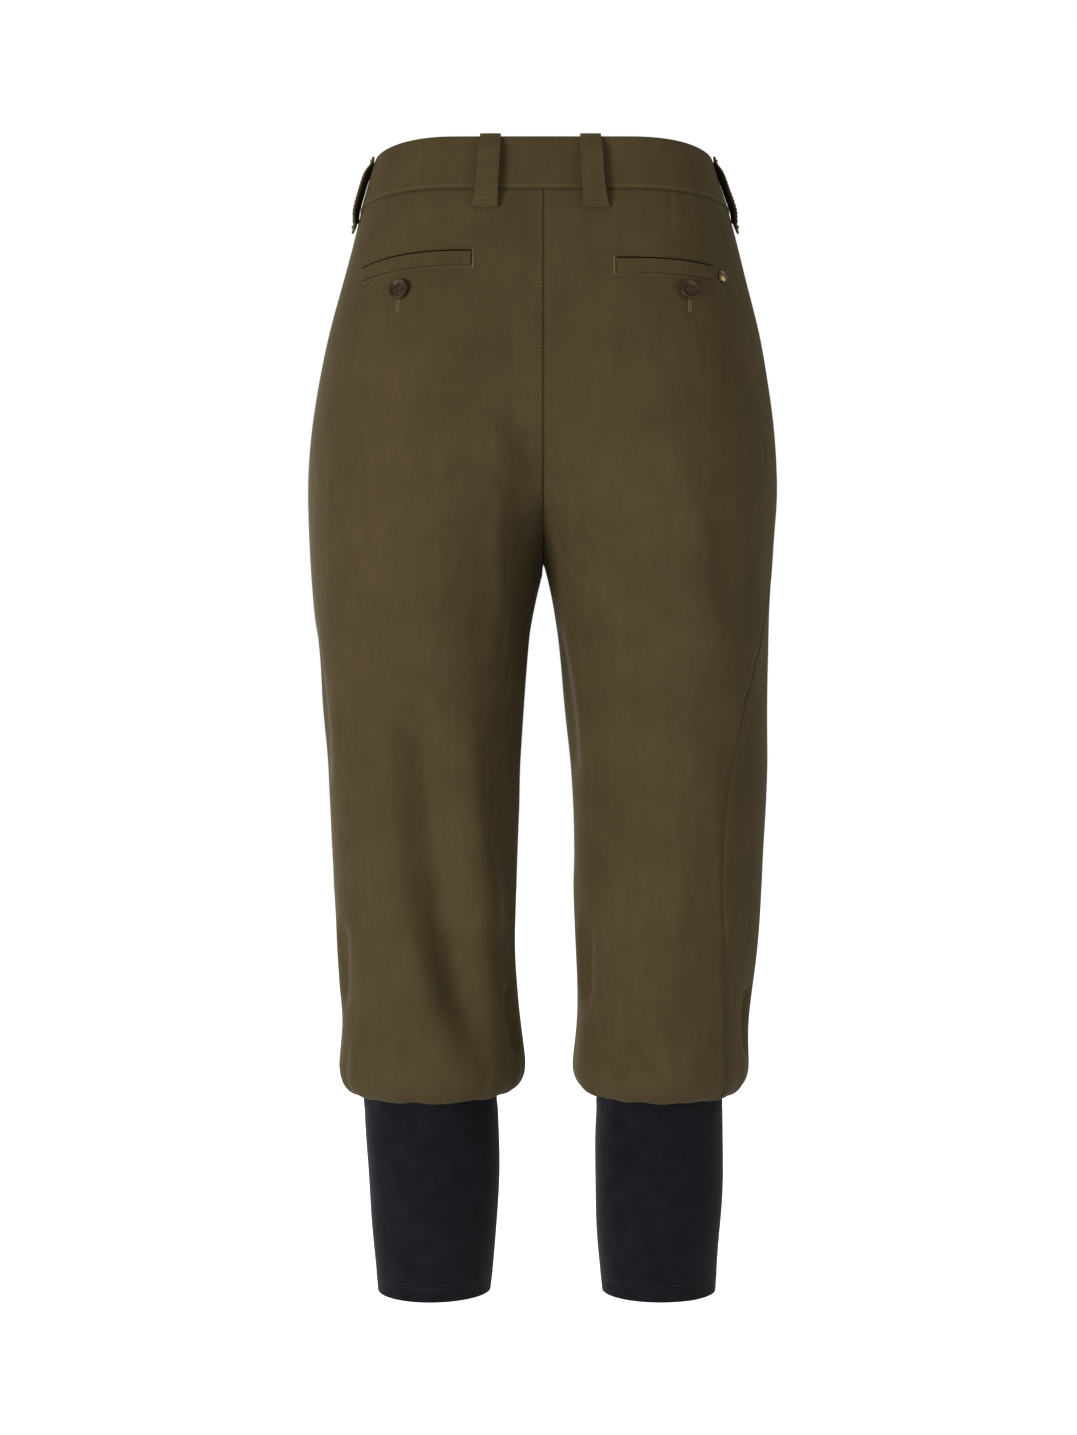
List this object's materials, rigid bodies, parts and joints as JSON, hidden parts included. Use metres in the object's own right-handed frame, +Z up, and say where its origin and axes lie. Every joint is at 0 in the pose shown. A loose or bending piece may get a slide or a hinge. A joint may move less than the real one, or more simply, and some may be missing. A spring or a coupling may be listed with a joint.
{
  "type": "knee breeches with stretch calf cuffs",
  "caption": "Hollow knee breeches in brushed cotton, bloused over close stretch calf cuffs, with a belted waistband, buttoned fly front and buttoned back welt pockets.",
  "frame": {"origin": "centre of the waistband ring, half way up the band, where a waist holds the garment", "axes": "+Z up; the wearer faces -Y; the wearer's left is +X"},
  "size_m": [0.3656, 0.2403, 0.8765],
  "materials": {
    "moleskin": "brushed cotton moleskin, olive brown, soft nap",
    "jersey": "black stretch jersey, matt",
    "horn_plastic": "dark brown mottled, satin",
    "aged_brass": "aged, satin"
  },
  "bodies": {
    "root": {"back_left": "moleskin", "back_right": "moleskin", "front_left": "moleskin", "front_right": "moleskin", "waistband": "moleskin", "fly_flap": "moleskin", "loop_back_left": "moleskin", "loop_back_right": "moleskin", "loop_side_left": "moleskin", "loop_side_right": "moleskin", "loop_front_left": "moleskin", "loop_front_right": "moleskin", "welt_left": "moleskin", "welt_right": "moleskin", "cuff_left": "jersey", "cuff_right": "jersey", "button_left": "horn_plastic", "button_right": "horn_plastic", "button_waist": "horn_plastic", "rivet": "aged_brass"}
  },
  "joints": []
}
